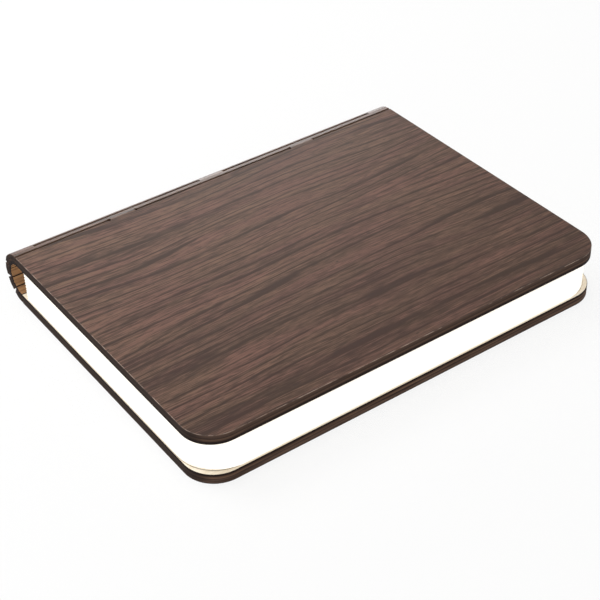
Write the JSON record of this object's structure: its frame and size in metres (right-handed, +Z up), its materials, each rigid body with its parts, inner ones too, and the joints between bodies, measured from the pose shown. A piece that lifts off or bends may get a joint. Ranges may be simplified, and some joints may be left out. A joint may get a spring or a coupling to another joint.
{
  "type": "folding book lamp",
  "caption": "Folding book lamp: walnut plywood covers joined by a laser-cut living hinge, with a glowing pleated paper shade fanning out round a light core in the spine.",
  "frame": {"origin": "Centre of the closed lamp's footprint, on the surface it lies on", "axes": "X along the spine, -Y towards the fore-edge, +Z up out of the front cover"},
  "size_m": [0.215, 0.1678, 0.026],
  "materials": {
    "walnut_ply": "oiled walnut veneer with laser-darkened edges",
    "shade_paper": "translucent pleated paper, lit from inside",
    "magnet_nickel": "nickel plated",
    "channel_aluminium": "satin anodised",
    "opal_plastic": "opal diffuser",
    "cap_plastic": "fine texture",
    "board_white": "white solder mask",
    "board_green": "green solder mask",
    "led_phosphor": "silicone over phosphor",
    "chip_black": "moulded epoxy",
    "cell_wrap": "heat-shrunk film",
    "lead_red": "silicone insulation",
    "inlet_steel": "bright plated shell",
    "rail_wood": "bare birch"
  },
  "bodies": {
    "back_cover_body": {"back_cover": "walnut_ply", "end_paper_back": "shade_paper", "cover_magnet_back_left": "magnet_nickel", "cover_magnet_back_right": "magnet_nickel"},
    "slat_01_body": {"spine_slat_01": "walnut_ply", "leaf_01": "shade_paper"},
    "slat_02_body": {"spine_slat_02": "walnut_ply", "leaf_02": "shade_paper"},
    "slat_03_body": {"spine_slat_03": "walnut_ply", "leaf_03": "shade_paper"},
    "slat_04_body": {"spine_slat_04": "walnut_ply", "leaf_04": "shade_paper"},
    "slat_05_body": {"spine_slat_05": "walnut_ply", "leaf_05": "shade_paper", "core_rail": "rail_wood", "core_channel": "channel_aluminium", "core_diffuser": "opal_plastic", "core_cap_near": "cap_plastic", "core_cap_far": "cap_plastic", "led_board": "board_white", "led_packages": "led_phosphor", "sensor_chip": "chip_black", "battery_cell_1": "cell_wrap", "battery_cell_2": "cell_wrap", "cell_link": "lead_red", "cell_leads": "lead_red", "charge_board": "board_green", "charge_inlet": "inlet_steel"},
    "slat_06_body": {"spine_slat_06": "walnut_ply", "leaf_06": "shade_paper"},
    "slat_07_body": {"spine_slat_07": "walnut_ply", "leaf_07": "shade_paper"},
    "slat_08_body": {"spine_slat_08": "walnut_ply", "leaf_08": "shade_paper"},
    "slat_09_body": {"spine_slat_09": "walnut_ply", "leaf_09": "shade_paper"},
    "slat_10_body": {"spine_slat_10": "walnut_ply", "leaf_10": "shade_paper"},
    "front_cover_body": {"front_cover": "walnut_ply", "end_paper_front": "shade_paper", "cover_magnet_front_left": "magnet_nickel", "cover_magnet_front_right": "magnet_nickel", "sensor_magnet": "magnet_nickel"}
  },
  "joints": [
    {"name": "spine_fold_01", "type": "hinge", "parent": "back_cover_body", "child": "slat_01_body", "pos_m": [0, 0.07105, 0.0025], "axis": [-1, 0, 0], "range_deg": [0, 18]},
    {"name": "spine_fold_02", "type": "hinge", "parent": "slat_01_body", "child": "slat_02_body", "pos_m": [0, 0.0743, 0.00301], "axis": [-1, 0, 0], "range_deg": [0, 36]},
    {"name": "spine_fold_03", "type": "hinge", "parent": "slat_02_body", "child": "slat_03_body", "pos_m": [0, 0.07722, 0.00451], "axis": [-1, 0, 0], "range_deg": [0, 36]},
    {"name": "spine_fold_04", "type": "hinge", "parent": "slat_03_body", "child": "slat_04_body", "pos_m": [0, 0.07955, 0.00683], "axis": [-1, 0, 0], "range_deg": [0, 36]},
    {"name": "spine_fold_05", "type": "hinge", "parent": "slat_04_body", "child": "slat_05_body", "pos_m": [0, 0.08104, 0.00975], "axis": [-1, 0, 0], "range_deg": [0, 36]},
    {"name": "spine_fold_06", "type": "hinge", "parent": "slat_05_body", "child": "slat_06_body", "pos_m": [0, 0.08155, 0.013], "axis": [-1, 0, 0], "range_deg": [0, 36]},
    {"name": "spine_fold_07", "type": "hinge", "parent": "slat_06_body", "child": "slat_07_body", "pos_m": [0, 0.08104, 0.01624], "axis": [-1, 0, 0], "range_deg": [0, 36]},
    {"name": "spine_fold_08", "type": "hinge", "parent": "slat_07_body", "child": "slat_08_body", "pos_m": [0, 0.07955, 0.01917], "axis": [-1, 0, 0], "range_deg": [0, 36]},
    {"name": "spine_fold_09", "type": "hinge", "parent": "slat_08_body", "child": "slat_09_body", "pos_m": [0, 0.07722, 0.0215], "axis": [-1, 0, 0], "range_deg": [0, 36]},
    {"name": "spine_fold_10", "type": "hinge", "parent": "slat_09_body", "child": "slat_10_body", "pos_m": [0, 0.0743, 0.02299], "axis": [-1, 0, 0], "range_deg": [0, 36]},
    {"name": "cover_fold", "type": "hinge", "parent": "slat_10_body", "child": "front_cover_body", "pos_m": [0, 0.07105, 0.0235], "axis": [-1, 0, 0], "range_deg": [0, 18]}
  ],
  "couplings": [
    {"joint": "spine_fold_01", "follows": "cover_fold", "ratio": 1},
    {"joint": "spine_fold_02", "follows": "cover_fold", "ratio": 2},
    {"joint": "spine_fold_03", "follows": "cover_fold", "ratio": 2},
    {"joint": "spine_fold_04", "follows": "cover_fold", "ratio": 2},
    {"joint": "spine_fold_05", "follows": "cover_fold", "ratio": 2},
    {"joint": "spine_fold_06", "follows": "cover_fold", "ratio": 2},
    {"joint": "spine_fold_07", "follows": "cover_fold", "ratio": 2},
    {"joint": "spine_fold_08", "follows": "cover_fold", "ratio": 2},
    {"joint": "spine_fold_09", "follows": "cover_fold", "ratio": 2},
    {"joint": "spine_fold_10", "follows": "cover_fold", "ratio": 2}
  ]
}
